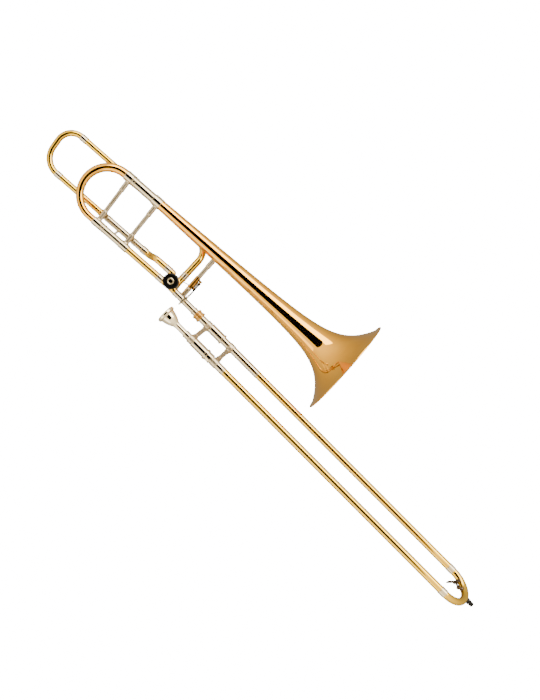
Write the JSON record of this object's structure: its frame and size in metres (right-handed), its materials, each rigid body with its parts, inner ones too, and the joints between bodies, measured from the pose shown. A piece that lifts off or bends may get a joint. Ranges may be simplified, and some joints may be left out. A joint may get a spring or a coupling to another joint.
{
  "type": "trombone",
  "caption": "Tenor trombone with an open-wrap F attachment, rotary valve and thumb lever, sliding hand slide, tuning slides and mouthpiece.",
  "frame": {"origin": "joint of bell section and slide, on the axis of the neckpipe, where the left hand holds the instrument", "axes": "+X forward along the bell axis, +Y from the slide towards the bell, +Z square to the bell plane on the side of the valve cap"},
  "size_m": [1.2511, 0.3217, 0.2156],
  "materials": {
    "gold_brass": "clear lacquer over gold brass, polished",
    "yellow_brass": "clear lacquer over yellow brass, polished",
    "nickel_silver": "polished nickel silver under lacquer",
    "gold_trim": "gold lacquered trim, polished",
    "silver_plate": "bright silver plate",
    "chrome_tube": "smooth chrome plate",
    "steel": "plain steel wire and screws",
    "black_cap": "satin black",
    "black_rubber": "soft black rubber",
    "cork": "dark natural cork"
  },
  "bodies": {
    "bell_section": {"bell": "gold_brass", "bell_stem": "gold_brass", "bell_rim_wire": "steel", "bell_tail_ferrule": "nickel_silver", "upper_receiver": "nickel_silver", "lower_receiver": "nickel_silver", "lower_leg": "yellow_brass", "bell_brace": "nickel_silver", "valve_brace": "nickel_silver", "valve_casing": "yellow_brass", "valve_bearing_plate": "yellow_brass", "valve_cap": "black_cap", "cap_vent": "nickel_silver", "stop_plate": "yellow_brass", "stop_bumpers": "black_rubber", "port_ferrules": "nickel_silver", "neckpipe": "nickel_silver", "neck_tenon": "nickel_silver", "lever_saddle": "gold_trim", "lever_pivot": "steel", "lever_spring": "steel", "gooseneck": "yellow_brass", "f_return_tube": "yellow_brass", "f_upper_sleeve": "nickel_silver", "f_lower_sleeve": "nickel_silver", "f_sleeve_post": "nickel_silver"},
    "rotor": {"valve_rotor": "yellow_brass", "stop_arm": "yellow_brass"},
    "thumb_lever": {"thumb_lever": "nickel_silver"},
    "link": {"link_rod": "steel"},
    "lock_nut": {"lock_nut": "gold_trim"},
    "tuning_slide": {"tuning_bow": "gold_brass", "tuning_bow_ferrules": "nickel_silver", "tuning_inner_legs": "nickel_silver", "tuning_brace": "nickel_silver"},
    "f_slide": {"f_bow": "yellow_brass", "f_bow_ferrules": "nickel_silver", "f_slide_legs": "yellow_brass"},
    "inner_slide": {"slide_receiver": "nickel_silver", "inner_slide_brace": "nickel_silver", "cork_barrels": "nickel_silver", "barrel_corks": "cork", "mouthpiece_receiver": "nickel_silver", "leadpipe": "yellow_brass", "inner_slide_tubes": "chrome_tube", "slide_stockings": "chrome_tube"},
    "slide_lock": {"slide_lock_ring": "nickel_silver"},
    "mouthpiece": {"mouthpiece": "silver_plate"},
    "hand_slide": {"outer_slide_tubes": "yellow_brass", "outer_sleeves": "nickel_silver", "outer_slide_brace": "nickel_silver", "slide_bow": "yellow_brass", "slide_bow_ferrules": "nickel_silver", "bumper_socket": "black_cap", "slide_bumper": "black_rubber", "water_key_mount": "nickel_silver", "water_key_spring": "steel", "water_key_screw": "steel"},
    "water_key": {"water_key": "nickel_silver", "water_key_cork": "cork"}
  },
  "joints": [
    {"name": "rotor_turn", "type": "hinge", "parent": "bell_section", "child": "rotor", "pos_m": [-0.103, 0.0165, 0], "axis": [0, 0, -1], "range_deg": [0, 90]},
    {"name": "thumb_press", "type": "hinge", "parent": "bell_section", "child": "thumb_lever", "pos_m": [-0.06, 0.0475, 0.002], "axis": [0, -1, 0], "range_deg": [0, 28.2], "stiffness_Nm_per_rad": 0.08, "springref_deg": -34.38},
    {"name": "link_swing", "type": "hinge", "parent": "thumb_lever", "child": "link", "pos_m": [-0.06778, 0.0372, -0.03], "axis": [0, 1, 0], "range_deg": [0, 28.2]},
    {"name": "nut_turn", "type": "hinge", "parent": "bell_section", "child": "lock_nut", "pos_m": [-0.01746, 0.00114, 0], "axis": [0.9979, -0.0654, 0], "range_deg": [0, 540]},
    {"name": "tuning_pull", "type": "slide", "parent": "bell_section", "child": "tuning_slide", "axis": [-1, 0, 0], "range_m": [0, 0.045]},
    {"name": "f_tuning_pull", "type": "slide", "parent": "bell_section", "child": "f_slide", "axis": [-1, 0, 0], "range_m": [0, 0.08]},
    {"name": "slide_angle", "type": "hinge", "parent": "bell_section", "child": "inner_slide", "pos_m": [0, 0, 0], "axis": [0.9979, -0.0654, 0], "range_deg": [-25, 20]},
    {"name": "lock_turn", "type": "hinge", "parent": "inner_slide", "child": "slide_lock", "pos_m": [0.05621, -0.0445, 0.07347], "axis": [0.9979, -0.0654, 0], "range_deg": [0, 40]},
    {"name": "mouthpiece_pull", "type": "slide", "parent": "inner_slide", "child": "mouthpiece", "axis": [-0.9979, 0.0654, 0], "range_m": [0, 0.03]},
    {"name": "hand_slide_travel", "type": "slide", "parent": "inner_slide", "child": "hand_slide", "axis": [0.9979, -0.0654, 0], "range_m": [0, 0.585]},
    {"name": "water_key_press", "type": "hinge", "parent": "hand_slide", "child": "water_key", "pos_m": [0.72019, -0.05839, 0.02014], "axis": [-0.0572, -0.8727, -0.4848], "range_deg": [0, 20], "stiffness_Nm_per_rad": 0.05, "springref_deg": -28.65}
  ],
  "couplings": [
    {"joint": "thumb_press", "follows": "rotor_turn", "ratio": 0.31262},
    {"joint": "link_swing", "follows": "rotor_turn", "ratio": 0.31262}
  ]
}
